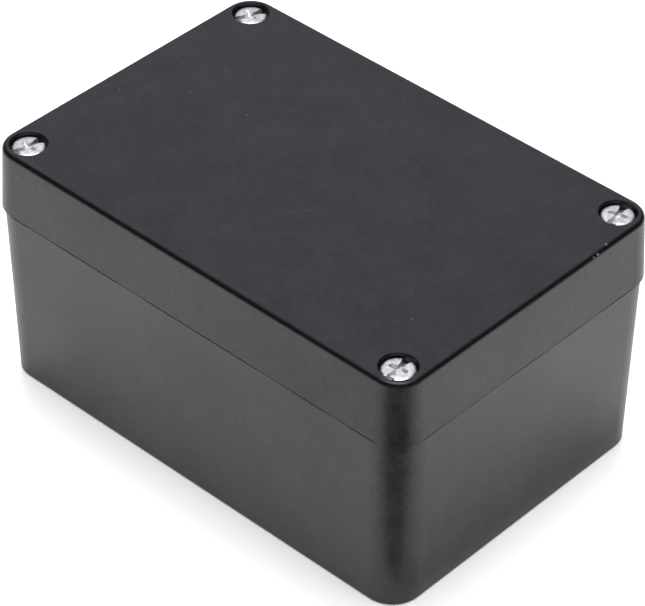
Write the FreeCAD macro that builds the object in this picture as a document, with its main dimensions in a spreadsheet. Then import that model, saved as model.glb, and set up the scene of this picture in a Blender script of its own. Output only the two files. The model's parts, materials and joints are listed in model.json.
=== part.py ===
import FreeCAD, Part
import math
import os

import Sketcher

# Sealed two-piece plastic project box, screwed shut at its four corners.
# Millimetres. Origin at the middle of the underside, +X along the long side, +Z up.

SIZES = (
    # The moulded outline
    ("length", 100.0, "long side, at the lid's lower rim"),
    ("width", 68.0, "short side, at the lid's lower rim"),
    ("height", 51.0, "underside to lid top"),
    ("lid_depth", 13.3, "lid top to the joint line"),
    ("seam_gap", 0.21, "open line between the lid's rim and the base's rim"),
    ("lid_overhang", 0.12, "lid stands this far proud of the base all round"),
    ("lid_draft", 3.1, "degrees, lid sides"),
    ("base_draft", 1.4, "degrees, base sides"),
    ("lid_corner_radius", 5.9, "upright corners of the lid, at its lower rim"),
    ("base_corner_radius", 6.8, "upright corners of the base, at its upper rim"),
    ("top_edge_radius", 0.9, "round along the lid's upper edge"),
    ("foot_bevel", 0.3, "bevel along the base's lower edge"),
    # Walls
    ("floor_thickness", 2.5, "floor of the base"),
    ("lid_thickness", 2.5, "roof of the lid"),
    ("floor_bevel", 0.8, "inside bevel at the foot of the cavity"),
    # The seal, which runs inside the corner screws
    ("seal_inset", 1.95, "outer face to the middle of the seal line"),
    ("seal_round_screw", 3.9, "radius of the seal line round each screw"),
    ("seal_bend", 3.2, "radius where the seal line turns off the wall"),
    ("tongue_width", 1.0, "upstanding rib of the base"),
    ("tongue_height", 1.6, "upstanding rib of the base"),
    ("tongue_bevel", 0.2, "lead-in on the rib"),
    ("tongue_clearance", 0.2, "rib to groove wall, each side"),
    ("lip_thickness", 0.9, "lid wall inside the groove"),
    ("gasket_height", 1.2, "cord pressed flat between rib and groove"),
    ("gasket_clearance", 0.08, "cord to groove wall, each side"),
    # Screws, which cut their own thread in the base's columns
    ("screw_inset", 5.55, "outer face to screw axis, both ways"),
    ("head_radius", 3.1, "pan head"),
    ("head_height", 2.4, "seat to crown"),
    ("head_side", 2.05, "upright side of the head"),
    ("head_bevel", 0.4, "how far the bevel from side to crown reaches in"),
    ("head_recess", 0.4, "lid top down to the crown"),
    ("slot_width", 1.0, "driver slot, right across the head"),
    ("slot_depth", 0.9, "crown to slot floor"),
    ("cross_length", 3.7, "cross recess, tip to tip"),
    ("cross_width", 0.95, "cross recess, each wing"),
    ("cross_depth", 1.3, "crown to cross floor"),
    ("shank_radius", 1.5, "over the thread"),
    ("shank_length", 18.0, "under the head"),
    ("screw_hole_clearance", 0.2, "shank to plain hole, radial"),
    ("head_clearance", 0.3, "head to counterbore, radial"),
    ("counterbore_bevel", 0.2, "rim of the counterbore"),
    ("seat_width", 1.3, "ring of lid that bears on the base round each screw hole"),
    ("thread_clearance", 0.05, "shank to the column's hole, radial"),
    ("tip_room", 1.5, "depth of the column's hole past the screw's end"),
    # Pillars for a circuit board
    ("board_spacing_x", 72.0, "pillar to pillar"),
    ("board_spacing_y", 44.0, "pillar to pillar"),
    ("pillar_radius", 3.0, "outside"),
    ("pillar_height", 5.0, "above the floor"),
    ("pillar_hole_radius", 1.25, "for a self-tapping screw"),
    ("pillar_hole_depth", 5.5, "from the pillar's top"),
)

# Which way each screw's slot came to rest, in degrees from +X
SCREWS = {
    "front_right": (1, -1, 100.0),
    "front_left": (-1, -1, 85.0),
    "back_right": (1, 1, 118.0),
    "back_left": (-1, 1, 72.0),
}

doc = FreeCAD.newDocument("project_box")
sheet = doc.addObject("Spreadsheet::Sheet", "Sizes")
for row, (alias, size, meaning) in enumerate(SIZES, start=1):
    sheet.set(f"A{row}", alias)
    sheet.set(f"B{row}", str(size))
    sheet.set(f"C{row}", meaning)
    sheet.setAlias(f"B{row}", alias)
doc.recompute()

# Heights
SEAM = "(Sizes.height - Sizes.lid_depth)"
RIM = f"({SEAM} + Sizes.seam_gap)"
TONGUE_TOP = f"({SEAM} + Sizes.tongue_height)"
GROOVE_TOP = f"({TONGUE_TOP} + Sizes.gasket_height)"
ROOF = "(Sizes.height - Sizes.lid_thickness)"
PILLAR_TOP = "(Sizes.floor_thickness + Sizes.pillar_height)"
HEAD_SEAT = "(Sizes.height - Sizes.head_recess - Sizes.head_height)"
SCREW_END = f"({HEAD_SEAT} - Sizes.shank_length)"

# Places and radii
SCREW_X = "(Sizes.length / 2 - Sizes.screw_inset)"
SCREW_Y = "(Sizes.width / 2 - Sizes.screw_inset)"
HOLE_RADIUS = "(Sizes.shank_radius + Sizes.screw_hole_clearance)"
COUNTERBORE_RADIUS = "(Sizes.head_radius + Sizes.head_clearance)"
HALF_TONGUE = "(Sizes.tongue_width / 2)"
HALF_GROOVE = f"({HALF_TONGUE} + Sizes.tongue_clearance)"
HALF_GASKET = f"({HALF_GROOVE} - Sizes.gasket_clearance)"


def value(expression):
    """The number that an expression on the sheet comes to."""
    return float(sheet.evalExpression(expression.replace("Sizes.", "")))


def plane(body, role):
    """One of the body's own origin planes."""
    return next(item for item in body.Origin.OriginFeatures if item.Role == role)


def new_body(label):
    body = doc.addObject("PartDesign::Body", label)
    body.Label = label
    return body


def level_sketch(body, name, height):
    """A sketch that looks down on the body at a given height."""
    sketch = body.newObject("Sketcher::SketchObject", name)
    sketch.AttachmentSupport = (plane(body, "XY_Plane"), [""])
    sketch.MapMode = "FlatFace"
    sketch.setExpression("AttachmentOffset.Base.z", height)
    return sketch


def bind(sketch, constraint, name, expression):
    """Adds a dimension and ties it to the sheet."""
    index = sketch.addConstraint(constraint)
    sketch.renameConstraint(index, name)
    sketch.setExpression(f"Constraints.{name}", expression)


def bind_place(sketch, item, point, axis, sign, name, expression):
    """Holds a point at a distance from the origin along X or Y, on the side that sign gives."""
    size = value(expression)
    ends = (-1, 1, item, point) if sign > 0 else (item, point, -1, 1)
    bind(sketch, Sketcher.Constraint(f"Distance{axis}", *ends, size), name, expression)


def join_loop(sketch, pieces):
    """Adds lines and arcs that run on from each other smoothly and close up.

    Each piece is its geometry and whether the loop runs along it backwards.
    """
    items = [sketch.addGeometry(geometry, False) for geometry, backwards in pieces]
    count = len(items)
    for place in range(count):
        after = (place + 1) % count
        leave = 1 if pieces[place][1] else 2
        enter = 2 if pieces[after][1] else 1
        sketch.addConstraint(Sketcher.Constraint("Tangent", items[place], leave, items[after], enter))
    return items


def arc_between(centre, radius, start, end):
    """An anticlockwise arc from one direction to another, both as vectors."""
    first = math.atan2(start.y, start.x)
    last = math.atan2(end.y, end.x)
    if last <= first:
        last += 2 * math.pi
    circle = Part.Circle(centre, FreeCAD.Vector(0, 0, 1), radius)
    return Part.ArcOfCircle(circle, first, last)


def corner_frames():
    """For each corner, anticlockwise: the outward directions of the wall before it and after it."""
    before = FreeCAD.Vector(1, 0, 0)
    for _ in range(4):
        after = FreeCAD.Vector(-before.y, before.x, 0)
        yield before, after
        before = after


def wall_axis(outward):
    return ("X", outward.x) if abs(outward.x) > 0.5 else ("Y", outward.y)


def rounded_rectangle(sketch, half_x, half_y, radius):
    """The outside of the box at one height."""
    reach = {"X": value(half_x), "Y": value(half_y)}
    bend = value(radius)
    arcs = []
    for before, after in corner_frames():
        centre = before * (reach[wall_axis(before)[0]] - bend) + after * (reach[wall_axis(after)[0]] - bend)
        arcs.append((centre, before, after))
    pieces = []
    for place, (centre, before, after) in enumerate(arcs):
        last_centre = arcs[place - 1][0]
        line = Part.LineSegment(last_centre + before * bend, centre + before * bend)
        pieces.append((line, False))
        pieces.append((arc_between(centre, bend, before, after), False))
    items = join_loop(sketch, pieces)
    hold_walls(sketch, items[0::2], half_x, half_y, "side")
    hold_radii(sketch, items[1::2], radius, "corner")


def hold_walls(sketch, lines, half_x, half_y, name):
    """Squares up the four straight runs and sets how far out they lie."""
    for place, (line, (before, _)) in enumerate(zip(lines, corner_frames())):
        axis, sign = wall_axis(before)
        sketch.addConstraint(Sketcher.Constraint("Vertical" if axis == "X" else "Horizontal", line))
        reach = half_x if axis == "X" else half_y
        bind_place(sketch, line, 1, axis, sign, f"{name}_{place}", reach)


def hold_radii(sketch, arcs, radius, name):
    """One radius for all the arcs."""
    bind(sketch, Sketcher.Constraint("Radius", arcs[0], value(radius)), name, radius)
    for arc in arcs[1:]:
        sketch.addConstraint(Sketcher.Constraint("Equal", arcs[0], arc))


def seal_loop(sketch, offset, name):
    """The loop that follows the walls and turns in round each screw.

    It runs the given offset inside the middle of the seal line: a smaller loop
    has tighter bends and a wider sweep round the screws.
    """
    inset = f"(Sizes.seal_inset + {offset})"
    half_x = f"(Sizes.length / 2 - {inset})"
    half_y = f"(Sizes.width / 2 - {inset})"
    bend = f"(Sizes.seal_bend - {offset})"
    sweep = f"(Sizes.seal_round_screw + {offset})"
    reach = {"X": value(half_x), "Y": value(half_y)}
    screw = {"X": value(SCREW_X), "Y": value(SCREW_Y)}
    bend_radius = value(bend)
    sweep_radius = value(sweep)
    corners = []
    for before, after in corner_frames():
        near, far = wall_axis(before)[0], wall_axis(after)[0]
        hub = before * screw[near] + after * screw[far]
        side = reach[near] - bend_radius - screw[near]
        back = math.sqrt((sweep_radius + bend_radius) ** 2 - side ** 2)
        turn_in = hub + before * side - after * back
        side = reach[far] - bend_radius - screw[far]
        back = math.sqrt((sweep_radius + bend_radius) ** 2 - side ** 2)
        turn_out = hub + after * side - before * back
        corners.append((before, after, hub, turn_in, turn_out))
    pieces = []
    for place, (before, after, hub, turn_in, turn_out) in enumerate(corners):
        last_turn = corners[place - 1][4]
        line = Part.LineSegment(last_turn + before * bend_radius, turn_in + before * bend_radius)
        pieces.append((line, False))
        pieces.append((arc_between(turn_in, bend_radius, before, hub - turn_in), False))
        pieces.append((arc_between(hub, sweep_radius, turn_out - hub, turn_in - hub), True))
        pieces.append((arc_between(turn_out, bend_radius, hub - turn_out, after), False))
    items = join_loop(sketch, pieces)
    hold_walls(sketch, items[0::4], half_x, half_y, f"{name}_wall")
    hold_radii(sketch, items[1::4] + items[3::4], bend, f"{name}_bend")
    hold_radii(sketch, items[2::4], sweep, f"{name}_sweep")
    for place, (hub, (before, after)) in enumerate(zip(items[2::4], corner_frames())):
        for outward in (before, after):
            axis, sign = wall_axis(outward)
            distance = SCREW_X if axis == "X" else SCREW_Y
            bind_place(sketch, hub, 3, axis, sign, f"{name}_hub_{axis}_{place}", distance)


def seal_ring(sketch, half_width):
    """A strip along the seal line."""
    seal_loop(sketch, f"(-{half_width})", "outer")
    seal_loop(sketch, half_width, "inner")


def four_circles(sketch, half_x, half_y, radius):
    """A circle at each corner of a rectangle."""
    circles = []
    for place, (side_x, side_y) in enumerate(((1, 1), (-1, 1), (-1, -1), (1, -1))):
        centre = FreeCAD.Vector(side_x * value(half_x), side_y * value(half_y), 0)
        circle = sketch.addGeometry(Part.Circle(centre, FreeCAD.Vector(0, 0, 1), value(radius)), False)
        bind_place(sketch, circle, 3, "X", side_x, f"place_x_{place}", half_x)
        bind_place(sketch, circle, 3, "Y", side_y, f"place_y_{place}", half_y)
        circles.append(circle)
    hold_radii(sketch, circles, radius, "size")


def extrude(body, kind, name, sketch, depth, down=False, draft="0"):
    """A Pad or a Pocket of one sketch. down is towards the underside.

    The draft, in degrees, narrows it away from the sketch.
    """
    before = 0 if body.Shape.isNull() else body.Shape.Volume
    feature = body.newObject(f"PartDesign::{kind}", name)
    feature.Profile = sketch
    feature.setExpression("Length", depth)
    feature.setExpression("TaperAngle", f"-({draft})")
    # a pocket cuts against its sketch's normal unless it is reversed
    feature.Reversed = down != (kind == "Pocket")
    doc.recompute()
    gained = body.Shape.Volume - before
    if (gained > 0) != (kind == "Pad"):
        raise RuntimeError(f"{name} changes nothing")
    return feature


def dress(body, kind, name, size, expression, wanted):
    """A Fillet or Chamfer on the edges that wanted picks."""
    doc.recompute()
    tip = body.Tip
    names = [f"Edge{place}" for place, edge in enumerate(tip.Shape.Edges, start=1) if wanted(edge)]
    if not names:
        raise RuntimeError(f"{name} finds no edge")
    feature = body.newObject(f"PartDesign::{kind}", name)
    feature.Base = (tip, names)
    feature.setExpression(size, expression)
    doc.recompute()
    return feature


def lies_at(edge, height, slack=1e-4):
    """Whether an edge lies flat at a height."""
    box = edge.BoundBox
    return abs(box.ZMin - height) < slack and abs(box.ZMax - height) < slack


def make_base():
    """The deep moulding: walls, screw columns, board pillars and the tongue of the seal."""
    body = new_body("base")
    rim = level_sketch(body, "base_rim_outline", SEAM)
    rounded_rectangle(
        rim,
        "(Sizes.length / 2 - Sizes.lid_overhang)",
        "(Sizes.width / 2 - Sizes.lid_overhang)",
        "Sizes.base_corner_radius",
    )
    extrude(body, "Pad", "base_block", rim, SEAM, down=True, draft="Sizes.base_draft")
    dress(
        body, "Chamfer", "base_foot_bevel", "Size", "Sizes.foot_bevel",
        lambda edge: lies_at(edge, 0),
    )

    mouth = level_sketch(body, "cavity_mouth", SEAM)
    seal_loop(mouth, HALF_TONGUE, "mouth")
    cavity_depth = f"({SEAM} - Sizes.floor_thickness)"
    extrude(body, "Pocket", "cavity", mouth, cavity_depth, down=True)
    floor_height = value("Sizes.floor_thickness")
    dress(
        body, "Chamfer", "cavity_floor_bevel", "Size", "Sizes.floor_bevel",
        lambda edge: lies_at(edge, floor_height),
    )

    tongue = level_sketch(body, "tongue_outline", SEAM)
    seal_ring(tongue, HALF_TONGUE)
    extrude(body, "Pad", "tongue", tongue, "Sizes.tongue_height")
    tongue_top = value(TONGUE_TOP)
    dress(
        body, "Chamfer", "tongue_lead_in", "Size", "Sizes.tongue_bevel",
        lambda edge: lies_at(edge, tongue_top),
    )

    board_x = "(Sizes.board_spacing_x / 2)"
    board_y = "(Sizes.board_spacing_y / 2)"
    pillars = level_sketch(body, "pillar_tops", PILLAR_TOP)
    four_circles(pillars, board_x, board_y, "Sizes.pillar_radius")
    extrude(body, "Pad", "pillars", pillars, "Sizes.pillar_height", down=True)
    holes = level_sketch(body, "pillar_holes", PILLAR_TOP)
    four_circles(holes, board_x, board_y, "Sizes.pillar_hole_radius")
    extrude(body, "Pocket", "pillar_bores", holes, "Sizes.pillar_hole_depth", down=True)

    threads = level_sketch(body, "thread_holes", SEAM)
    four_circles(threads, SCREW_X, SCREW_Y, "(Sizes.shank_radius + Sizes.thread_clearance)")
    extrude(body, "Pocket", "thread_bores", threads, f"({SEAM} - {SCREW_END} + Sizes.tip_room)", down=True)
    return body


def make_lid():
    """The shallow moulding: counterbored corners, a hollow underside and the groove of the seal."""
    body = new_body("lid")
    rim = level_sketch(body, "lid_rim_outline", RIM)
    rounded_rectangle(rim, "(Sizes.length / 2)", "(Sizes.width / 2)", "Sizes.lid_corner_radius")
    extrude(body, "Pad", "lid_block", rim, f"(Sizes.height - {RIM})", draft="Sizes.lid_draft")
    lid_top = value("Sizes.height")
    dress(
        body, "Fillet", "lid_edge_round", "Radius", "Sizes.top_edge_radius",
        lambda edge: lies_at(edge, lid_top),
    )

    mouth = level_sketch(body, "hollow_mouth", RIM)
    seal_loop(mouth, f"({HALF_GROOVE} + Sizes.lip_thickness)", "mouth")
    extrude(body, "Pocket", "hollow", mouth, f"({ROOF} - {RIM})")

    groove = level_sketch(body, "groove_outline", RIM)
    seal_ring(groove, HALF_GROOVE)
    extrude(body, "Pocket", "groove", groove, f"({GROOVE_TOP} - {RIM})")

    seats = level_sketch(body, "seat_rings", RIM)
    four_circles(seats, SCREW_X, SCREW_Y, f"({HOLE_RADIUS} + Sizes.seat_width)")
    extrude(body, "Pad", "seats", seats, "Sizes.seam_gap", down=True)

    holes = level_sketch(body, "screw_holes", "Sizes.height")
    four_circles(holes, SCREW_X, SCREW_Y, HOLE_RADIUS)
    extrude(body, "Pocket", "screw_bores", holes, "Sizes.lid_depth", down=True)
    counterbores = level_sketch(body, "counterbore_outlines", "Sizes.height")
    four_circles(counterbores, SCREW_X, SCREW_Y, COUNTERBORE_RADIUS)
    extrude(
        body, "Pocket", "counterbores", counterbores, "(Sizes.head_recess + Sizes.head_height)", down=True
    )
    dress(
        body, "Chamfer", "counterbore_rims", "Size", "Sizes.counterbore_bevel",
        lambda edge: lies_at(edge, lid_top) and edge.isClosed(),
    )
    return body


def make_gasket():
    """One closed cord, pressed into the lid's groove."""
    body = new_body("gasket")
    outline = level_sketch(body, "gasket_outline", TONGUE_TOP)
    seal_ring(outline, HALF_GASKET)
    extrude(body, "Pad", "gasket_cord", outline, "Sizes.gasket_height")
    return body


def profile(body, name, points):
    """A half section on the body's XZ plane, in straight runs."""
    sketch = body.newObject("Sketcher::SketchObject", name)
    sketch.AttachmentSupport = (plane(body, "XZ_Plane"), [""])
    sketch.MapMode = "FlatFace"
    places = [FreeCAD.Vector(value(out), value(up), 0) for out, up in points]
    count = len(places)
    for place in range(count):
        sketch.addGeometry(Part.LineSegment(places[place], places[(place + 1) % count]), False)
    for place in range(count):
        sketch.addConstraint(Sketcher.Constraint("Coincident", place, 2, (place + 1) % count, 1))
    for place, (out, up) in enumerate(points):
        for axis, expression in (("X", out), ("Y", up)):
            size = value(expression)
            if abs(size) < 1e-9:
                on = -2 if axis == "X" else -1
                sketch.addConstraint(Sketcher.Constraint("PointOnObject", place, 1, on))
                continue
            sign = 1 if size > 0 else -1
            text = expression if size > 0 else f"(-({expression}))"
            bind_place(sketch, place, 1, axis, sign, f"{name}_{axis}_{place}", text)
    return sketch


def revolve(body, name, sketch):
    feature = body.newObject("PartDesign::Revolution", name)
    feature.Profile = sketch
    feature.ReferenceAxis = (sketch, ["V_Axis"])
    feature.Angle = 360
    doc.recompute()
    return feature


def stand_at_screw(body, side_x, side_y, height, turn=0.0):
    """Puts a body on a screw axis."""
    upright = FreeCAD.Vector(0, 0, 1)
    body.Placement = FreeCAD.Placement(FreeCAD.Vector(0, 0, 0), FreeCAD.Rotation(upright, turn))
    body.setExpression("Placement.Base.x", f"{side_x} * {SCREW_X}")
    body.setExpression("Placement.Base.y", f"{side_y} * {SCREW_Y}")
    body.setExpression("Placement.Base.z", height)


def make_screw(corner, side_x, side_y, turn):
    """A pan-head screw with a slot across a cross recess."""
    body = new_body(f"screw_{corner}")
    shank = "Sizes.shank_radius"
    tip = "(-Sizes.shank_length)"
    head = "Sizes.head_radius"
    crown = "Sizes.head_height"
    points = [
        ("0", crown),
        ("0", tip),
        (shank, tip),
        (shank, "0"),
        (head, "0"),
        (head, "Sizes.head_side"),
        (f"({head} - Sizes.head_bevel)", crown),
    ]
    section = profile(body, f"screw_section_{corner}", points)
    revolve(body, f"screw_turned_{corner}", section)
    stand_at_screw(body, side_x, side_y, HEAD_SEAT, turn)
    across = level_sketch(body, f"slot_outline_{corner}", crown)
    bar(across, "(2.4 * Sizes.head_radius)", "Sizes.slot_width", "slot")
    extrude(body, "Pocket", f"slot_{corner}", across, "Sizes.slot_depth", down=True)
    wings = level_sketch(body, f"cross_outline_{corner}", crown)
    bar(wings, "Sizes.cross_width", "Sizes.cross_length", "wing")
    extrude(body, "Pocket", f"cross_{corner}", wings, "Sizes.cross_depth", down=True)
    return body


def bar(sketch, size_x, size_y, name):
    """A rectangle centred on the axis."""
    half_x, half_y = value(size_x) / 2, value(size_y) / 2
    signs = ((-1, -1), (1, -1), (1, 1), (-1, 1))
    corners = [FreeCAD.Vector(x * half_x, y * half_y, 0) for x, y in signs]
    for place in range(4):
        sketch.addGeometry(Part.LineSegment(corners[place], corners[(place + 1) % 4]), False)
    for place in range(4):
        sketch.addConstraint(Sketcher.Constraint("Coincident", place, 2, (place + 1) % 4, 1))
    for place, way in enumerate(("Horizontal", "Vertical", "Horizontal", "Vertical")):
        sketch.addConstraint(Sketcher.Constraint(way, place))
    bind_place(sketch, 1, 1, "X", 1, f"{name}_right", f"({size_x} / 2)")
    bind_place(sketch, 3, 1, "X", -1, f"{name}_left", f"({size_x} / 2)")
    bind_place(sketch, 2, 1, "Y", 1, f"{name}_back", f"({size_y} / 2)")
    bind_place(sketch, 0, 1, "Y", -1, f"{name}_front", f"({size_y} / 2)")


pieces = [make_base(), make_lid(), make_gasket()]
for corner, (side_x, side_y, turn) in SCREWS.items():
    pieces.append(make_screw(corner, side_x, side_y, turn))
doc.recompute()

for item in doc.Objects:
    if "Invalid" in item.State or "Error" in item.State:
        raise RuntimeError(f"{item.Name} did not build: {item.State}")
for piece in pieces:
    if piece.Shape.isNull() or not piece.Shape.isValid():
        raise RuntimeError(f"{piece.Label} has no valid shape")

os.makedirs("parts", exist_ok=True)
for piece in pieces:
    piece.Shape.exportStep(f"parts/{piece.Label}.step")
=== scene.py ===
import json
import math

import bmesh
import bpy
from bpy.props import FloatProperty, FloatVectorProperty, PointerProperty
from mathutils import Matrix, Vector

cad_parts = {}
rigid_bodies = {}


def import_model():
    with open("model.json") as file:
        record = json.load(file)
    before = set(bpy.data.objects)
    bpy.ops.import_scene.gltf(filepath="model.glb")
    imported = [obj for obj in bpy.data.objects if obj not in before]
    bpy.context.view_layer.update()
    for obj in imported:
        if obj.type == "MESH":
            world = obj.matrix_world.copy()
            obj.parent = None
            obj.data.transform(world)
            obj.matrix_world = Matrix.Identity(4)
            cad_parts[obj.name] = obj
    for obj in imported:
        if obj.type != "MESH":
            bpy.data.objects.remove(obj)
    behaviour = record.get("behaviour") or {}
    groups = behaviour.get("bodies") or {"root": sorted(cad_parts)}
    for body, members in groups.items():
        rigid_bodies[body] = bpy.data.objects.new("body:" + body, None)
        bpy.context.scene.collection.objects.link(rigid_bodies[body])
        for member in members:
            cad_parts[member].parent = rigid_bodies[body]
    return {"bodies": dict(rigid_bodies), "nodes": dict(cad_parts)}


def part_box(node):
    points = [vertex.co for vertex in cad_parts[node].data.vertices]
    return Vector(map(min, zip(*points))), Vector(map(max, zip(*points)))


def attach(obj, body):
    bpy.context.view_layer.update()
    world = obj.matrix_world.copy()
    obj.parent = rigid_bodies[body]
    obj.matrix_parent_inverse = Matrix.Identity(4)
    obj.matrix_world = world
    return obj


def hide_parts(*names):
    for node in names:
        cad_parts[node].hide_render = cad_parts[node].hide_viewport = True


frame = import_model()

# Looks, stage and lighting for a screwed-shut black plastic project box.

bl_info = {
    "name": "Project Box Looks",
    "version": (1, 0, 0),
    "blender": (4, 5, 0),
    "location": "3D View > Sidebar > Project Box",
    "description": "Finishes the shells, seal and screws of a plastic project box, and lights it",
    "category": "Object",
}

MM = 0.001
CORNERS = ("front_right", "front_left", "back_right", "back_left")
HEAD_LOW, HEAD_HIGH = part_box("screw_front_right")
LID_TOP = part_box("lid")[1].z
JOINT_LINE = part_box("lid")[0].z

# knocks on the lid's upper edge: where, and how far each reaches
NICKS = (
    ((0.0491, 0.0162, 0.0506), 0.00022),
    ((0.0492, 0.0173, 0.0507), 0.00030),
    ((0.0486, 0.0201, 0.0509), 0.00024),
    ((0.0491, -0.0329, 0.0506), 0.00026),
    ((-0.0310, -0.0334, 0.0507), 0.00020),
    ((-0.0490, 0.0085, 0.0507), 0.00026),
)

# how far below the lid's top each change in its skin begins and ends
FILM_ON_SIDES = (0.0008, 0.0010)
FILM_ON_TOP = (0.00007, 0.00001)
RUB_AND_HIGHLIGHT_AT_TOP = (0.0005, 0.0002)
SMOOTH_AT_TOP = (0.0007, 0.0002)

# what haze, rub with its painted highlight, dust, and knocks turn the black plastic into
HAZE_RUB_AND_HIGHLIGHT = (0.05, 0.05, 0.052, 1)
DUSTY = (0.15, 0.147, 0.142, 1)
CHIPPED = (0.13, 0.13, 0.127, 1)


# Sizes and colours that a user may change

class PlasticSettings(bpy.types.PropertyGroup):
    colour: FloatVectorProperty(
        name="Colour", description="Body colour of the moulded plastic", subtype="COLOR",
        size=3, min=0, max=1, default=(0.0028, 0.0027, 0.0040),
    )
    gloss: FloatProperty(
        name="Base refractive index", description="How strongly the base's skin mirrors", min=1.3, max=2,
        default=1.50,
    )
    lid_gloss: FloatProperty(
        name="Lid refractive index", description="How strongly the lid's skin mirrors", min=1.3, max=2,
        default=1.46,
    )
    side_roughness: FloatProperty(
        name="Side roughness", description="Gloss of the spark-eroded sides", subtype="FACTOR",
        min=0, max=1, default=0.40,
    )
    top_roughness: FloatProperty(
        name="Top roughness", description="Gloss of the smoother lid top", subtype="FACTOR",
        min=0, max=1, default=0.33,
    )
    grain_size: FloatProperty(
        name="Grain size", description="Width of one pit of the side texture", subtype="DISTANCE",
        unit="LENGTH", min=0.00005, max=0.002, default=0.00045, precision=5,
    )
    grain_depth: FloatProperty(
        name="Grain depth", description="Depth of the side texture", subtype="DISTANCE",
        unit="LENGTH", min=0, max=0.0002, default=0.000042, precision=6,
    )
    dust_size: FloatProperty(
        name="Dust size", description="Width of the largest dust specks", subtype="DISTANCE",
        unit="LENGTH", min=0.00005, max=0.002, default=0.00028, precision=5,
    )
    rub_and_highlight_width: FloatProperty(
        name="Rub and highlight width", description="How far the rub along sharp edges reaches in", subtype="DISTANCE",
        unit="LENGTH", min=0.00005, max=0.002, default=0.00018, precision=5,
    )
    rim_bevel: FloatProperty(
        name="Rim bevel", description="Broken edge of the base where it meets the lid", subtype="DISTANCE",
        unit="LENGTH", min=0.00002, max=0.001, default=0.00016, precision=5,
    )
    film: FloatProperty(
        name="Handling film", description="How much of the patchy film from hands and dust shows",
        subtype="FACTOR", min=0, max=1, default=0.5,
    )


class SealSettings(bpy.types.PropertyGroup):
    colour: FloatVectorProperty(
        name="Colour", description="Colour of the rubber cord", subtype="COLOR",
        size=3, min=0, max=1, default=(0.022, 0.022, 0.024),
    )
    roughness: FloatProperty(
        name="Roughness", description="Gloss of the rubber cord", subtype="FACTOR",
        min=0, max=1, default=0.72,
    )


class ScrewSettings(bpy.types.PropertyGroup):
    colour: FloatVectorProperty(
        name="Plating colour", description="Colour of the bright zinc plate", subtype="COLOR",
        size=3, min=0, max=1, default=(0.94, 0.94, 0.94),
    )
    roughness: FloatProperty(
        name="Plating roughness", description="Gloss of the plate", subtype="FACTOR",
        min=0, max=1, default=0.44,
    )
    slot_width: FloatProperty(
        name="Slot width", description="Width of the driver slot", subtype="DISTANCE",
        unit="LENGTH", min=0.0002, max=0.003, default=0.0010, precision=5,
    )
    slot_flare: FloatProperty(
        name="Slot flare", description="Width that the slot would reach 4 mm out, outside the head",
        subtype="DISTANCE", unit="LENGTH", min=0.0002, max=0.004, default=0.0026, precision=5,
    )
    slot_depth: FloatProperty(
        name="Slot depth", description="Depth of the driver slot below the crown", subtype="DISTANCE",
        unit="LENGTH", min=0.0002, max=0.002, default=0.0009, precision=5,
    )
    cross_length: FloatProperty(
        name="Cross length", description="Cross recess from tip to tip", subtype="DISTANCE",
        unit="LENGTH", min=0.001, max=0.005, default=0.0037, precision=5,
    )
    thread_pitch: FloatProperty(
        name="Thread pitch", description="Rise of the thread in one turn", subtype="DISTANCE",
        unit="LENGTH", min=0.0004, max=0.003, default=0.0012, precision=5,
    )
    thread_depth: FloatProperty(
        name="Thread depth", description="Crest to root of the thread", subtype="DISTANCE",
        unit="LENGTH", min=0.0001, max=0.001, default=0.00036, precision=5,
    )
    turns: FloatVectorProperty(
        name="Slot directions", description="Which way each slot came to rest, from the long side",
        subtype="EULER", unit="ROTATION", size=4,
        default=tuple(math.radians(turn) for turn in (100, 85, 104, 72)),
    )


class StageSettings(bpy.types.PropertyGroup):
    floor_colour: FloatVectorProperty(
        name="Floor colour", description="Colour of the plain floor", subtype="COLOR",
        size=3, min=0, max=1, default=(0.82, 0.82, 0.82),
    )
    floor_glow: FloatProperty(
        name="Floor glow", description="White that the floor adds where it is seen or mirrored", min=0, max=1,
        default=0.28,
    )
    overhead_level: FloatProperty(
        name="Overhead level", description="Brightness of the wide overhead lamp's face", min=0, max=20,
        default=2.2,
    )
    key_level: FloatProperty(
        name="Key level", description="Brightness of the near lamp behind the box", min=0, max=40,
        default=7.0,
    )
    zenith_level: FloatProperty(
        name="Zenith level", description="Brightness of the small panel straight above", min=0, max=40,
        default=8.5,
    )
    back_level: FloatProperty(
        name="Back level", description="Brightness of the soft panel behind the box", min=0, max=20,
        default=0.89,
    )
    # the dark cards paint shade into the floor that the plastic mirrors
    shade_card_near: FloatProperty(
        name="Shade card near", description="How much the front card covers close to the box", subtype="FACTOR",
        min=0, max=1, default=0.8,
    )
    shade_card_far: FloatProperty(
        name="Shade card far", description="How much the front card covers further out", subtype="FACTOR",
        min=0, max=1, default=0.96,
    )
    shade_card_side: FloatProperty(
        name="Shade card side", description="How much the dark card by the right side covers", subtype="FACTOR",
        min=0, max=1, default=0.3,
    )
    focal_length: FloatProperty(
        name="Focal length", description="Lens of the camera, in millimetres on a 36 mm sensor",
        min=20, max=400, default=183.042,
    )


class ProjectBoxSettings(bpy.types.PropertyGroup):
    plastic: PointerProperty(type=PlasticSettings, name="Plastic", description="The moulded shells")
    seal: PointerProperty(type=SealSettings, name="Seal", description="The rubber cord")
    screws: PointerProperty(type=ScrewSettings, name="Screws", description="The four lid screws")
    stage: PointerProperty(type=StageSettings, name="Stage", description="Floor, lamps and camera")


# Shader building

def add(tree, kind, inputs=None, **settings):
    """A shader node with its fields set and its inputs filled or linked."""
    made = tree.nodes.new(kind)
    for name, setting in settings.items():
        setattr(made, name, setting)
    for name, source in (inputs or {}).items():
        socket = made.inputs[name]
        if isinstance(source, bpy.types.NodeSocket):
            tree.links.new(source, socket)
        else:
            socket.default_value = source
    return made


def math_node(tree, operation, first, second=0.0, third=0.0, clamp=False):
    made = add(tree, "ShaderNodeMath", {0: first, 1: second, 2: third}, operation=operation, use_clamp=clamp)
    return made.outputs[0]


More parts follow.
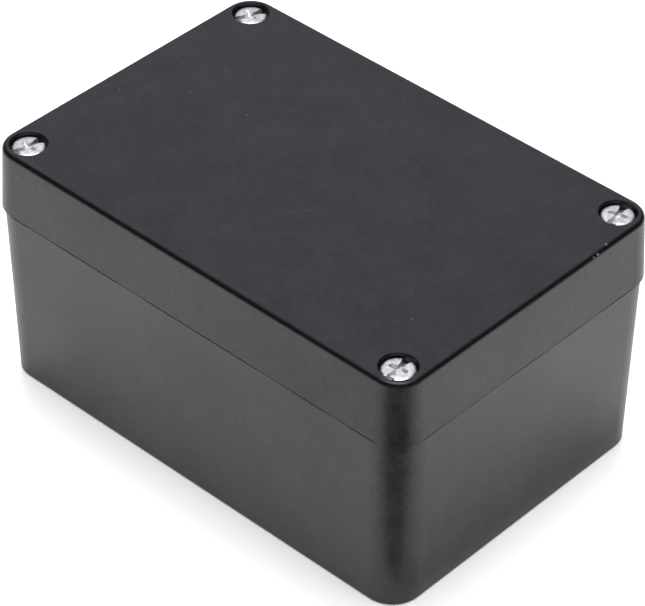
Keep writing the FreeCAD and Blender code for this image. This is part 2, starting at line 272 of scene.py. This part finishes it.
def remap(tree, source, low, high, to_low=0.0, to_high=1.0, smooth=True):
    """Maps a value from one range to another, and holds it at the ends."""
    made = add(
        tree, "ShaderNodeMapRange",
        {"Value": source, "From Min": low, "From Max": high, "To Min": to_low, "To Max": to_high},
        interpolation_type="SMOOTHSTEP" if smooth else "LINEAR",
    )
    return made.outputs["Result"]


def mix_value(tree, share, first, second):
    made = add(tree, "ShaderNodeMix", {0: share, 2: first, 3: second}, data_type="FLOAT")
    return made.outputs[0]


def mix_colour(tree, share, first, second):
    made = add(tree, "ShaderNodeMix", {0: share, 6: first, 7: second}, data_type="RGBA")
    return made.outputs[2]


def noise(tree, place, size, detail=2.0, roughness=0.5):
    """Noise whose blobs are about the given size, in metres, which may be a socket."""
    if isinstance(size, bpy.types.NodeSocket):
        scale = math_node(tree, "DIVIDE", 1.0, size)
    else:
        scale = 1.0 / size
    made = add(
        tree, "ShaderNodeTexNoise",
        {"Vector": place, "Scale": scale, "Detail": detail, "Roughness": roughness},
    )
    return made.outputs["Fac"]


def new_group(name, inputs, outputs):
    """A shader node group with float sockets, and its input and output nodes."""
    tree = bpy.data.node_groups.new(name, "ShaderNodeTree")
    for label, default in inputs:
        socket = tree.interface.new_socket(label, in_out="INPUT", socket_type="NodeSocketFloat")
        socket.default_value = default
    for label in outputs:
        tree.interface.new_socket(label, in_out="OUTPUT", socket_type="NodeSocketFloat")
    return tree, tree.nodes.new("NodeGroupInput"), tree.nodes.new("NodeGroupOutput")


def object_place(tree):
    return tree.nodes.new("ShaderNodeTexCoord").outputs["Object"]


def surface_normal(tree):
    return tree.nodes.new("ShaderNodeNewGeometry").outputs["Normal"]


def axis_of(tree, vector, axis):
    return add(tree, "ShaderNodeSeparateXYZ", {"Vector": vector}).outputs[axis]


def below_top(tree, height, depths, low=0.0, high=1.0):
    """Goes from low to high between two depths below the lid's top."""
    return remap(tree, height, LID_TOP - depths[0], LID_TOP - depths[1], low, high)


def moulded_grain():
    """Fine pits left by a textured mould, and the slow drift in gloss that goes with them."""
    tree, given, out = new_group(
        "Moulded grain", [("Grain Size", 0.0003), ("Drift Size", 0.02)], ["Height", "Gloss Drift", "Tone"]
    )
    place = object_place(tree)
    pits = noise(tree, place, given.outputs["Grain Size"], 3.0, 0.6)
    coarse_size = math_node(tree, "MULTIPLY", given.outputs["Grain Size"], 5.0)
    orange_peel = noise(tree, place, coarse_size, 1.0)
    height = math_node(tree, "MULTIPLY_ADD", orange_peel, 0.6, pits)
    tree.links.new(height, out.inputs["Height"])
    drift = noise(tree, place, given.outputs["Drift Size"], 3.0, 0.55)
    tree.links.new(math_node(tree, "SUBTRACT", drift, 0.5), out.inputs["Gloss Drift"])
    tree.links.new(remap(tree, pits, 0.3, 0.7, 0.85, 1.15, smooth=False), out.inputs["Tone"])
    return tree


def dust_specks():
    """Scattered specks on faces that look up, each in its own cell."""
    tree, given, out = new_group("Dust specks", [("Speck Size", 0.0003), ("Share", 0.1)], ["Mask"])
    place = object_place(tree)
    spacing = math_node(tree, "MULTIPLY", given.outputs["Speck Size"], 9.0)
    cells = add(
        tree, "ShaderNodeTexVoronoi",
        {"Vector": place, "Scale": math_node(tree, "DIVIDE", 1.0, spacing), "Randomness": 1.0},
        feature="F1",
    )
    pick = add(tree, "ShaderNodeSeparateColor", {"Color": cells.outputs["Color"]})
    chosen = math_node(tree, "LESS_THAN", pick.outputs["Red"], given.outputs["Share"])
    reach = math_node(tree, "MULTIPLY_ADD", pick.outputs["Green"], 0.05, 0.015)
    speck = math_node(tree, "LESS_THAN", cells.outputs["Distance"], reach)
    upward = remap(tree, axis_of(tree, surface_normal(tree), "Z"), 0.3, 0.9)
    mask = math_node(tree, "MULTIPLY", math_node(tree, "MULTIPLY", chosen, speck), upward)
    tree.links.new(mask, out.inputs["Mask"])
    return tree


def edge_wear():
    """A mask of sharp outer edges, broken up so that it comes and goes: rub, and on the lid's rims a painted
    highlight too.
    """
    tree, given, out = new_group("Edge wear", [("Width", 0.0002), ("Breaks", 0.002)], ["Mask"])
    softened = add(tree, "ShaderNodeBevel", {"Radius": given.outputs["Width"]}, samples=4)
    normals = {0: softened.outputs["Normal"], 1: surface_normal(tree)}
    agree = add(tree, "ShaderNodeVectorMath", normals, operation="DOT_PRODUCT")
    edge = remap(tree, agree.outputs["Value"], 0.995, 0.90)
    broken = remap(tree, noise(tree, object_place(tree), given.outputs["Breaks"], 3.0, 0.6), 0.42, 0.60)
    tree.links.new(math_node(tree, "MULTIPLY", edge, broken), out.inputs["Mask"])
    return tree


def fine_scratches():
    """Hairlines from handling, in two slanting directions."""
    tree, given, out = new_group("Fine scratches", [("Spacing", 0.004), ("Share", 0.3)], ["Mask"])
    place = object_place(tree)
    scale = math_node(tree, "DIVIDE", 1.0, given.outputs["Spacing"])
    lines = []
    for turn, stretch in ((0.5, 14.0), (-1.1, 22.0)):
        turned = add(
            tree, "ShaderNodeMapping", {"Vector": place, "Rotation": (0, 0, turn), "Scale": (1, stretch, 1)}
        ).outputs["Vector"]
        cells = add(
            tree, "ShaderNodeTexVoronoi", {"Vector": turned, "Scale": scale}, feature="DISTANCE_TO_EDGE"
        )
        line = remap(tree, cells.outputs["Distance"], 0.02, 0.0)
        pick = noise(tree, turned, 0.03, 1.0)
        threshold = math_node(tree, "SUBTRACT", 1.0, given.outputs["Share"])
        shown = math_node(tree, "GREATER_THAN", pick, threshold)
        lines.append(math_node(tree, "MULTIPLY", line, shown))
    tree.links.new(math_node(tree, "MAXIMUM", lines[0], lines[1]), out.inputs["Mask"])
    return tree


def handling_film():
    """Patchy film of fine dust and finger marks."""
    tree, given, out = new_group("Handling film", [("Patch Size", 0.006), ("Fleck Size", 0.001)], ["Mask"])
    place = object_place(tree)
    patches = remap(tree, noise(tree, place, given.outputs["Patch Size"], 3.0, 0.6), 0.36, 0.68)
    flecks = remap(tree, noise(tree, place, given.outputs["Fleck Size"], 2.0, 0.6), 0.36, 0.66)
    both = math_node(tree, "MULTIPLY_ADD", patches, 0.45, math_node(tree, "MULTIPLY", flecks, 0.55))
    tree.links.new(both, out.inputs["Mask"])
    return tree


GROUP_MAKERS = {
    "Moulded grain": moulded_grain,
    "Handling film": handling_film,
    "Dust specks": dust_specks,
    "Edge wear": edge_wear,
    "Fine scratches": fine_scratches,
}


def effect(tree, name, **inputs):
    """One of the shared effects, placed in a material with its own values."""
    group = bpy.data.node_groups.get(name) or GROUP_MAKERS[name]()
    placed = tree.nodes.new("ShaderNodeGroup")
    placed.node_tree = group
    for label, setting in inputs.items():
        placed.inputs[label.replace("_", " ").title()].default_value = setting
    return placed.outputs


def bare_material(name):
    """A material with only an output node, and the socket that takes its surface."""
    material = bpy.data.materials.new(name)
    material.use_nodes = True
    tree = material.node_tree
    tree.nodes.clear()
    output = tree.nodes.new("ShaderNodeOutputMaterial")
    return material, tree, output.inputs["Surface"]


def new_material(name):
    """A material with only an output node and a Principled shader."""
    material, tree, surface = bare_material(name)
    shader = tree.nodes.new("ShaderNodeBsdfPrincipled")
    tree.links.new(shader.outputs["BSDF"], surface)
    return material, tree, shader


def edge_nicks(tree):
    """Small pale knocks on the lid's upper edge, with ragged outlines."""
    place = object_place(tree)
    ragged = noise(tree, place, 0.0004, 2.0, 0.6)
    uneven = math_node(tree, "MULTIPLY_ADD", ragged, 0.7, 0.65)
    marks = []
    for spot, size in NICKS:
        apart = add(tree, "ShaderNodeVectorMath", {0: place, 1: spot}, operation="DISTANCE").outputs["Value"]
        reach = math_node(tree, "DIVIDE", apart, math_node(tree, "MULTIPLY", uneven, size))
        marks.append(remap(tree, reach, 1.1, 0.7))
    worst = marks[0]
    for mark in marks[1:]:
        worst = math_node(tree, "MAXIMUM", worst, mark)
    return worst


def moulded_plastic(name, settings, smooth_top):
    """Black plastic with a fine mould texture, and a smoother, handled top where the piece has one; its
    rubbed edges carry a painted highlight as well.
    """
    material, tree, shader = new_material(name)
    grain = effect(tree, "Moulded grain", grain_size=settings.grain_size, drift_size=0.018)
    dust = effect(tree, "Dust specks", speck_size=settings.dust_size, share=0.3)
    wear = effect(tree, "Edge wear", width=settings.rub_and_highlight_width, breaks=0.0025)
    film = effect(tree, "Handling film", patch_size=0.006, fleck_size=0.0011)
    height = axis_of(tree, object_place(tree), "Z")
    body = (*settings.colour, 1)
    toned = add(
        tree, "ShaderNodeHueSaturation", {"Color": body, "Value": grain["Tone"], "Saturation": 1.0}
    ).outputs["Color"]
    haze = math_node(tree, "MULTIPLY", film["Mask"], settings.film)
    if smooth_top:
        # the film is left off the rounded upper edge, and the top carries less of it than the sides
        sides = below_top(tree, height, FILM_ON_SIDES)
        top_face = below_top(tree, height, FILM_ON_TOP, 0.0, 0.3)
        haze = math_node(tree, "MULTIPLY", haze, math_node(tree, "ADD", sides, top_face))
    filmed = mix_colour(tree, haze, toned, HAZE_RUB_AND_HIGHLIGHT)
    if smooth_top:
        # rub shows most near the top, where the screw holes' edges are, and there it is also a painted
        # highlight along the rims; the upper edge has its nicks
        rim = below_top(tree, height, RUB_AND_HIGHLIGHT_AT_TOP)
        edge = math_node(tree, "MULTIPLY", wear["Mask"], math_node(tree, "MULTIPLY_ADD", rim, 0.7, 0.1))
        nicks = edge_nicks(tree)
    else:
        edge = math_node(tree, "MULTIPLY", wear["Mask"], 0.1)
        nicks = 0.0
    # partly rub, partly a painted highlight: sharp edges turn paler, most near the top
    colour = mix_colour(tree, edge, filmed, HAZE_RUB_AND_HIGHLIGHT)
    colour = mix_colour(tree, math_node(tree, "MULTIPLY", dust["Mask"], 0.7), colour, DUSTY)
    colour = mix_colour(tree, nicks, colour, CHIPPED)
    tree.links.new(colour, shader.inputs["Base Color"])

    if smooth_top:
        top = below_top(tree, height, SMOOTH_AT_TOP)
        scratches = effect(tree, "Fine scratches", spacing=0.012, share=0.42)
        rough = mix_value(tree, top, settings.side_roughness, settings.top_roughness)
        scuffed = math_node(tree, "MULTIPLY", scratches["Mask"], math_node(tree, "MULTIPLY", top, 0.12))
        rough = math_node(tree, "ADD", rough, scuffed)
        depth = mix_value(tree, top, 1.0, 0.3)
    else:
        rough = settings.side_roughness
        depth = 1.0
    rough = math_node(tree, "MULTIPLY_ADD", grain["Gloss Drift"], 0.14, rough)
    rough = math_node(tree, "MULTIPLY_ADD", film["Mask"], 0.06, rough)
    rough = math_node(tree, "MULTIPLY_ADD", wear["Mask"], 0.08, rough)
    rough = math_node(tree, "MULTIPLY_ADD", dust["Mask"], 0.4, rough, clamp=True)
    tree.links.new(rough, shader.inputs["Roughness"])

    pits = math_node(tree, "MULTIPLY", grain["Height"], depth)
    raised = math_node(tree, "MULTIPLY_ADD", dust["Mask"], 1.5, pits)
    if not smooth_top:
        # the base's rim falls away at 45 degrees just under the joint line
        ramp = remap(tree, height, JOINT_LINE - settings.rim_bevel, JOINT_LINE, smooth=False)
        fall = settings.rim_bevel / settings.grain_depth
        sharpness = remap(tree, noise(tree, object_place(tree), 0.007, 2.0), 0.35, 0.62, -0.25 * fall, -fall)
        raised = math_node(tree, "MULTIPLY_ADD", ramp, sharpness, raised)
    bump = add(tree, "ShaderNodeBump", {"Height": raised, "Strength": 1.0, "Distance": settings.grain_depth})
    tree.links.new(bump.outputs["Normal"], shader.inputs["Normal"])
    shader.inputs["IOR"].default_value = settings.lid_gloss if smooth_top else settings.gloss
    return material


def rubber(name, settings):
    """Matt rubber cord with a faint bloom."""
    material, tree, shader = new_material(name)
    grain = effect(tree, "Moulded grain", grain_size=0.00025, drift_size=0.006)
    bloom = remap(tree, grain["Gloss Drift"], -0.1, 0.25, 0.0, 0.5)
    pale = tuple(part * 2.2 + 0.01 for part in settings.colour) + (1,)
    tree.links.new(mix_colour(tree, bloom, (*settings.colour, 1), pale), shader.inputs["Base Color"])
    rough = math_node(tree, "MULTIPLY_ADD", grain["Gloss Drift"], 0.25, settings.roughness, clamp=True)
    tree.links.new(rough, shader.inputs["Roughness"])
    bump = add(tree, "ShaderNodeBump", {"Height": grain["Height"], "Strength": 0.8, "Distance": 0.00003})
    tree.links.new(bump.outputs["Normal"], shader.inputs["Normal"])
    return material


def zinc_plate(name, settings):
    """Bright zinc plate over drawn steel, slightly cloudy and pitted."""
    material, tree, shader = new_material(name)
    grain = effect(tree, "Moulded grain", grain_size=0.00016, drift_size=0.0009)
    wear = effect(tree, "Edge wear", width=0.00012, breaks=0.0008)
    body = (*settings.colour, 1)
    cloudy = tuple(part * 0.78 for part in settings.colour) + (1,)
    clouds = remap(tree, grain["Gloss Drift"], -0.12, 0.16)
    colour = mix_colour(tree, clouds, cloudy, body)
    colour = mix_colour(tree, math_node(tree, "MULTIPLY", wear["Mask"], 0.5), colour, (0.93, 0.93, 0.93, 1))
    tree.links.new(colour, shader.inputs["Base Color"])
    rough = math_node(tree, "MULTIPLY_ADD", grain["Gloss Drift"], 0.35, settings.roughness, clamp=True)
    tree.links.new(rough, shader.inputs["Roughness"])
    bump = add(tree, "ShaderNodeBump", {"Height": grain["Height"], "Strength": 0.9, "Distance": 0.000015})
    tree.links.new(bump.outputs["Normal"], shader.inputs["Normal"])
    shader.inputs["Metallic"].default_value = 1.0
    return material


def finish_node(name, material):
    """Puts a material on a CAD node that keeps its own shape."""
    piece = frame["nodes"][name]
    piece.data.materials.clear()
    piece.data.materials.append(material)


# Screws, built in millimetres with the crown's middle at the origin

HEAD_HEIGHT = 2.4
SHANK_RADIUS = 1.5

# the cutters of slot and notch start this far above the crown and end this far out, outside the head
CUTTER_TOP = 1.0
CUTTER_END = 4

# where the slot starts to flare, and the deeper notch at its ends
FLARE_START = 1.4
NOTCH_START = 1.7
NOTCH_HALF = 0.56
NOTCH_INSET = 0.04
NOTCH_DROP = 0.45

# the cross recess: half width at the crown, half width and half length at its floor, and both heights
WING_HALF = 0.42
WING_FOOT = (0.26, 0.45)
WING_HIGH = 0.02
WING_LOW = -1.2

def turned_blank(mesh, length, core):
    """The head, shank and blunt point as one lathe form."""
    total = (HEAD_HIGH.z - HEAD_LOW.z) / MM
    rim = (HEAD_HIGH.x - HEAD_LOW.x) / MM / 2
    seat = length - total
    outline = [
        (0.9, -0.01), (1.7, -0.03), (2.3, -0.06), (rim - 0.45, -0.11), (rim - 0.25, -0.19),
        (rim - 0.1, -0.32), (rim - 0.02, -0.52), (rim, -0.8), (rim, seat + 0.22),
        (rim - 0.05, seat + 0.06), (rim - 0.18, seat), (1.55, seat), (1.32, seat - 0.12),
        (core + 0.1, seat - 0.4), (core, seat - 0.8), (core, 1.9 - total),
        (core * 0.86, 1.0 - total), (core * 0.55, 0.3 - total), (core * 0.3, 0.04 - total),
    ]
    steps = 72
    rings = []
    for radius, height in outline:
        ring = []
        for step in range(steps):
            angle = 2 * math.pi * step / steps
            ring.append(mesh.verts.new((radius * math.cos(angle), radius * math.sin(angle), height)))
        rings.append(ring)
    crown = mesh.verts.new((0, 0, 0))
    point = mesh.verts.new((0, 0, -total))
    for step in range(steps):
        after = (step + 1) % steps
        mesh.faces.new((crown, rings[0][step], rings[0][after]))
        for upper, lower in zip(rings, rings[1:]):
            mesh.faces.new((upper[step], lower[step], lower[after], upper[after]))
        mesh.faces.new((rings[-1][step], point, rings[-1][after]))


def frustum(mesh, top, foot, high, low):
    """A box that narrows downwards, from its half widths at the top to those at the foot."""
    corners = []
    for (reach_x, reach_y), height in ((foot, low), (top, high)):
        for sign_x, sign_y in ((-1, -1), (1, -1), (1, 1), (-1, 1)):
            corners.append(mesh.verts.new((sign_x * reach_x, sign_y * reach_y, height)))
    mesh.faces.new(corners[3::-1])
    mesh.faces.new(corners[4:])
    for place in range(4):
        after = (place + 1) % 4
        mesh.faces.new((corners[place], corners[after], corners[4 + after], corners[4 + place]))


def prism(mesh, outline, high, low):
    """A straight-sided block over a plan outline."""
    lower = [mesh.verts.new((x, y, low)) for x, y in outline]
    upper = [mesh.verts.new((x, y, high)) for x, y in outline]
    mesh.faces.new(lower[::-1])
    mesh.faces.new(upper)
    for place in range(len(outline)):
        after = (place + 1) % len(outline)
        mesh.faces.new((lower[place], lower[after], upper[after], upper[place]))


def thread_ridge(mesh, top, foot, core, depth, pitch):
    """One helical ridge, which fades into the core at both ends."""
    steps = 30
    total = int((top - foot) / pitch * steps)
    root = core - 0.08
    buried = 0.04
    rises = (-0.30, -0.05, 0.05, 0.24)
    sections = []
    for step in range(total + 1):
        angle = 2 * math.pi * step / steps
        height = top - pitch * step / steps
        fade = min(1.0, step / steps, (total - step) / (1.6 * steps))
        crest = core - buried + (depth + buried) * fade
        # the ridge draws in where the shank narrows to its point
        near_point = min(1.0, max(0.25, (height - foot + 0.9) / 1.9))
        section = []
        for reach, rise in zip((root, crest, crest, root), rises):
            radius = reach * near_point
            spot = (radius * math.cos(angle), -radius * math.sin(angle), height + rise)
            section.append(mesh.verts.new(spot))
        sections.append(section)
    for before, after in zip(sections, sections[1:]):
        for place in range(4):
            beside = (place + 1) % 4
            mesh.faces.new((before[place], before[beside], after[beside], after[place]))
    mesh.faces.new(sections[0][::-1])
    mesh.faces.new(sections[-1])


def object_from(name, build):
    """A new object whose mesh the build function fills."""
    mesh = bmesh.new()
    build(mesh)
    bmesh.ops.recalc_face_normals(mesh, faces=mesh.faces)
    data = bpy.data.meshes.new(name)
    mesh.to_mesh(data)
    mesh.free()
    made = bpy.data.objects.new(name, data)
    bpy.context.scene.collection.objects.link(made)
    return made


def baked_mesh(piece):
    """The object's mesh with its modifiers applied."""
    bpy.context.view_layer.update()
    graph = bpy.context.evaluated_depsgraph_get()
    return bpy.data.meshes.new_from_object(piece.evaluated_get(graph))


def screw_mesh(settings):
    """A pan-head screw with a slot across a cross recess and a rolled thread."""
    total = (HEAD_HIGH.z - HEAD_LOW.z) / MM
    shank = total - HEAD_HEIGHT
    depth = settings.thread_depth / MM
    # the crest stays 0.01 mm inside the plain shank that the screw stands for
    core = SHANK_RADIUS - depth - 0.01
    slot_half = settings.slot_width / MM / 2
    slot_floor = -settings.slot_depth / MM
    notch_floor = slot_floor - NOTCH_DROP
    flare = settings.slot_flare / MM / 2
    wing = settings.cross_length / MM / 2
    blank = object_from("blank", lambda mesh: turned_blank(mesh, shank, core))
    bow = [(-CUTTER_END, -flare), (-FLARE_START, -slot_half), (FLARE_START, -slot_half), (CUTTER_END, -flare)]
    bow += [(-x, -y) for x, y in bow]
    notch_end = flare - NOTCH_INSET
    notch = [
        (NOTCH_START, -NOTCH_HALF), (CUTTER_END, -notch_end),
        (CUTTER_END, notch_end), (NOTCH_START, NOTCH_HALF),
    ]
    far_notch = [(-x, -y) for x, y in notch]
    across, along = (WING_HALF, wing), (wing, WING_HALF)
    cutters = [
        object_from("slot", lambda mesh: prism(mesh, bow, CUTTER_TOP, slot_floor)),
        object_from("notch", lambda mesh: prism(mesh, notch, CUTTER_TOP, notch_floor)),
        object_from("far_notch", lambda mesh: prism(mesh, far_notch, CUTTER_TOP, notch_floor)),
        object_from("wing_across", lambda mesh: frustum(mesh, across, WING_FOOT, WING_HIGH, WING_LOW)),
        object_from("wing_along", lambda mesh: frustum(mesh, along, WING_FOOT[::-1], WING_HIGH, WING_LOW)),
    ]
    for cutter in cutters:
        cut = blank.modifiers.new(cutter.name, "BOOLEAN")
        cut.operation = "DIFFERENCE"
        cut.solver = "EXACT"
        cut.object = cutter
    soften = blank.modifiers.new("soften", "BEVEL")
    soften.width = 0.07
    soften.segments = 2
    soften.limit_method = "ANGLE"
    soften.angle_limit = math.radians(38)
    head = baked_mesh(blank)
    whole = bmesh.new()
    whole.from_mesh(head)
    # the thread runs from 1.1 mm under the head to 0.9 mm above the point
    thread_top, thread_foot = shank - total - 1.1, 0.9 - total
    thread_ridge(whole, thread_top, thread_foot, core, depth, settings.thread_pitch / MM)
    made = bpy.data.meshes.new("screw")
    whole.to_mesh(made)
    whole.free()
    made.transform(Matrix.Scale(MM, 4))
    for scrap in (blank, *cutters):
        bpy.data.meshes.remove(scrap.data)
    bpy.data.meshes.remove(head)
    made.shade_smooth()
    made.set_sharp_from_angle(angle=math.radians(32))
    return made


# Operators, one for each piece or group of like pieces

class PROJECTBOX_OT_dress_base(bpy.types.Operator):
    """Gives the deep shell its moulded black plastic"""
    bl_idname = "project_box.dress_base"
    bl_label = "Dress Base"

    def execute(self, context):
        settings = context.scene.project_box.plastic
        finish_node("base", moulded_plastic("box_plastic", settings, smooth_top=False))
        return {"FINISHED"}


class PROJECTBOX_OT_dress_lid(bpy.types.Operator):
    """Gives the lid its moulded black plastic with a smoother top"""
    bl_idname = "project_box.dress_lid"
    bl_label = "Dress Lid"

    def execute(self, context):
        settings = context.scene.project_box.plastic
        finish_node("lid", moulded_plastic("lid_plastic", settings, smooth_top=True))
        return {"FINISHED"}


class PROJECTBOX_OT_dress_seal(bpy.types.Operator):
    """Gives the seal its matt rubber"""
    bl_idname = "project_box.dress_seal"
    bl_label = "Dress Seal"

    def execute(self, context):
        finish_node("gasket", rubber("gasket_rubber", context.scene.project_box.seal))
        return {"FINISHED"}


class PROJECTBOX_OT_build_screws(bpy.types.Operator):
    """Builds the four lid screws and lets them stand for the plain ones"""
    bl_idname = "project_box.build_screws"
    bl_label = "Build Screws"

    def execute(self, context):
        settings = context.scene.project_box.screws
        plate = zinc_plate("zinc_plate", settings)
        pattern = screw_mesh(settings)
        pattern.materials.append(plate)
        for corner, turn in zip(CORNERS, settings.turns):
            low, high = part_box(f"screw_{corner}")
            middle = (low + high) / 2
            mesh = pattern.copy()
            mesh.transform(Matrix.Translation((middle.x, middle.y, high.z)) @ Matrix.Rotation(turn, 4, "Z"))
            screw = bpy.data.objects.new(f"{corner}_zinc_screw", mesh)
            context.scene.collection.objects.link(screw)
            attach(screw, f"{corner}_screw")
            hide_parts(f"screw_{corner}")
        bpy.data.meshes.remove(pattern)
        return {"FINISHED"}


class PROJECTBOX_OT_set_stage(bpy.types.Operator):
    """Lays the floor and sets up the lamps, the world and the camera"""
    bl_idname = "project_box.set_stage"
    bl_label = "Set Stage"

    def execute(self, context):
        settings = context.scene.project_box.stage
        lay_floor(context.scene, settings)
        lay_shade_cards(settings)
        hang_lamps(context.scene, settings)
        paint_world(context.scene)
        place_camera(context.scene, settings)
        context.scene.view_settings.view_transform = "Standard"
        return {"FINISHED"}


# Stage

def lay_floor(scene, settings):
    """A plain pale floor that reads white where it is seen or mirrored, and still takes the shadow."""
    floor = object_from(
        "floor", lambda mesh: bmesh.ops.create_grid(mesh, x_segments=1, y_segments=1, size=8.0)
    )
    # just under the box, so that the two never share a plane
    floor.location.z = -0.00002
    material, tree, surface = bare_material("pale_floor")
    matt = add(tree, "ShaderNodeBsdfDiffuse", {"Color": (*settings.floor_colour, 1)})
    path = tree.nodes.new("ShaderNodeLightPath").outputs
    seen = math_node(tree, "ADD", path["Is Camera Ray"], path["Is Glossy Ray"])
    seen = math_node(tree, "ADD", seen, path["Is Transmission Ray"], clamp=True)
    level = math_node(tree, "MULTIPLY", seen, settings.floor_glow)
    glow = add(tree, "ShaderNodeEmission", {"Strength": level})
    both = add(tree, "ShaderNodeAddShader", {0: matt.outputs["BSDF"], 1: glow.outputs["Emission"]})
    tree.links.new(both.outputs["Shader"], surface)
    floor.data.materials.append(material)


def dark_card(name, outline, cover):
    """A dark card over the floor, seen only where the plastic mirrors it, which paints shade into the floor's
    reflection.
    """
    card = object_from(name, lambda mesh: mesh.faces.new([mesh.verts.new(corner) for corner in outline]))
    material, tree, surface = bare_material(name)
    clear = tree.nodes.new("ShaderNodeBsdfTransparent").outputs["BSDF"]
    dark = add(tree, "ShaderNodeBsdfDiffuse", {"Color": (0.01, 0.01, 0.01, 1)}).outputs["BSDF"]
    both = add(tree, "ShaderNodeMixShader", {0: cover(tree), 1: clear, 2: dark})
    tree.links.new(both.outputs["Shader"], surface)
    card.data.materials.append(material)
    card.visible_camera = False
    card.visible_diffuse = False
    card.visible_shadow = False
    card.visible_transmission = False


def lay_shade_cards(settings):
    """Painted shade in the floor's reflection: one card fans out ahead of the front corner, and one lies
    along the right side as the box's painted contact shadow.
    """
    low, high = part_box("base")
    # the cards lie at different heights, so that they never share a plane
    fan_height, strip_height = 0.0015, 0.0012
    start = Vector((high.x, low.y, fan_height))
    ahead = Vector((0.68, -0.733, 0))
    beside = Vector((0.733, 0.68, 0)) * 1.1
    near, full, far = 0.002, 0.075, 0.15
    ends = ((near, -1), (near, 1), (far, 1), (far, -1))
    fan = [start + (ahead + beside * side) * reach for reach, side in ends]

    def fan_cover(tree):
        offset = add(tree, "ShaderNodeVectorMath", {0: object_place(tree), 1: start}, operation="SUBTRACT")
        along = {0: offset.outputs["Vector"], 1: ahead}
        reach = add(tree, "ShaderNodeVectorMath", along, operation="DOT_PRODUCT").outputs["Value"]
        return remap(tree, reach, near, full, settings.shade_card_near, settings.shade_card_far)

    # painted shade: the front card darkens the floor that the front corner mirrors, more so further out
    dark_card("front_shade_card", fan, fan_cover)
    # painted shadow: the strip darkens the floor by the right side, standing for the box's contact shadow as
    # the right face mirrors it
    outer = high.x + 0.026
    corners = ((high.x, low.y), (outer, low.y), (outer, high.y), (high.x, high.y))
    strip = [(x, y, strip_height) for x, y in corners]

    def strip_cover(tree):
        out = axis_of(tree, object_place(tree), "X")
        return remap(tree, out, high.x, outer, settings.shade_card_side, 0.0)

    dark_card("side_shade_card", strip, strip_cover)


def hang_lamp(scene, name, place, width, height, level, colour, mirrored):
    """A flat soft lamp that faces the box, with its face at the given brightness."""
    lamp = bpy.data.lights.new(name, "AREA")
    lamp.shape = "RECTANGLE"
    lamp.size = width
    lamp.size_y = height
    lamp.energy = level * math.pi * width * height
    lamp.color = colour
    made = bpy.data.objects.new(name, lamp)
    scene.collection.objects.link(made)
    made.location = place
    made.rotation_euler = Vector(place).to_track_quat("Z", "Y").to_euler()
    made.visible_glossy = mirrored


def hang_lamps(scene, settings):
    """Two lamps that only light the box, and two soft panels that its lid and screws mirror too."""
    hang_lamp(scene, "overhead", (0.1, 0.1, 1.5), 1.8, 1.8, settings.overhead_level, (1, 1, 1), False)
    hang_lamp(scene, "back_key", (-0.32, 0.30, 0.40), 0.3, 0.3, settings.key_level, (1, 1, 1), False)
    hang_lamp(scene, "zenith", (0.0, 0.0, 1.2), 0.6, 0.6, settings.zenith_level, (1, 1, 1), True)
    hang_lamp(
        scene, "back_panel", (-0.99, 1.06, 1.15), 2.0, 1.3, settings.back_level, (0.895, 0.865, 1.0), True
    )


def paint_world(scene):
    """A dark studio with pale walls low down, the same for every kind of ray."""
    world = bpy.data.worlds.new("studio")
    world.use_nodes = True
    tree = world.node_tree
    tree.nodes.clear()
    direction = tree.nodes.new("ShaderNodeTexCoord").outputs["Generated"]
    level = remap(tree, axis_of(tree, direction, "Z"), -0.02, 0.10, 0.6, 0.02)
    back = add(tree, "ShaderNodeBackground", {"Strength": level})
    output = tree.nodes.new("ShaderNodeOutputWorld")
    tree.links.new(back.outputs["Background"], output.inputs["Surface"])
    scene.world = world


def place_camera(scene, settings):
    """The camera at the photograph's angle."""
    camera = bpy.data.cameras.new("camera")
    camera.sensor_width = 36
    camera.lens = settings.focal_length
    camera.clip_start = 0.01
    camera.clip_end = 50
    made = bpy.data.objects.new("camera", camera)
    scene.collection.objects.link(made)
    right = Vector((0.729774, 0.683666, 0.005596))
    up = Vector((-0.436483, 0.45959, 0.773473))
    back = Vector((0.526225, -0.566902, 0.633805))
    place = Vector((0.313806, -0.337055, 0.399814))
    turn = Matrix((right, up, back)).transposed().to_4x4()
    made.matrix_world = Matrix.Translation(place) @ turn
    scene.camera = made


class PROJECTBOX_PT_panel(bpy.types.Panel):
    """Lists the steps and the sizes and colours that they use"""
    bl_idname = "PROJECTBOX_PT_panel"
    bl_label = "Project Box"
    bl_space_type = "VIEW_3D"
    bl_region_type = "UI"
    bl_category = "Project Box"

    def draw(self, context):
        settings = context.scene.project_box
        parts = (
            (settings.plastic, (PROJECTBOX_OT_dress_base, PROJECTBOX_OT_dress_lid)),
            (settings.seal, (PROJECTBOX_OT_dress_seal,)),
            (settings.screws, (PROJECTBOX_OT_build_screws,)),
            (settings.stage, (PROJECTBOX_OT_set_stage,)),
        )
        for group, steps in parts:
            box = self.layout.box()
            for step in steps:
                box.operator(step.bl_idname)
            for name in group.__annotations__:
                box.prop(group, name)


CLASSES = (
    PlasticSettings,
    SealSettings,
    ScrewSettings,
    StageSettings,
    ProjectBoxSettings,
    PROJECTBOX_OT_dress_base,
    PROJECTBOX_OT_dress_lid,
    PROJECTBOX_OT_dress_seal,
    PROJECTBOX_OT_build_screws,
    PROJECTBOX_OT_set_stage,
    PROJECTBOX_PT_panel,
)


def register():
    for one in CLASSES:
        bpy.utils.register_class(one)
    bpy.types.Scene.project_box = PointerProperty(type=ProjectBoxSettings)


def unregister():
    del bpy.types.Scene.project_box
    for one in reversed(CLASSES):
        bpy.utils.unregister_class(one)


def main():
    """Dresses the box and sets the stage."""
    kept = set(frame["nodes"].values()) | set(frame["bodies"].values())
    for thing in list(bpy.data.objects):
        if thing not in kept:
            bpy.data.objects.remove(thing)
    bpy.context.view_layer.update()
    register()
    bpy.ops.project_box.dress_base()
    bpy.ops.project_box.dress_lid()
    bpy.ops.project_box.dress_seal()
    bpy.ops.project_box.build_screws()
    bpy.ops.project_box.set_stage()


if __name__ == "__main__":
    main()
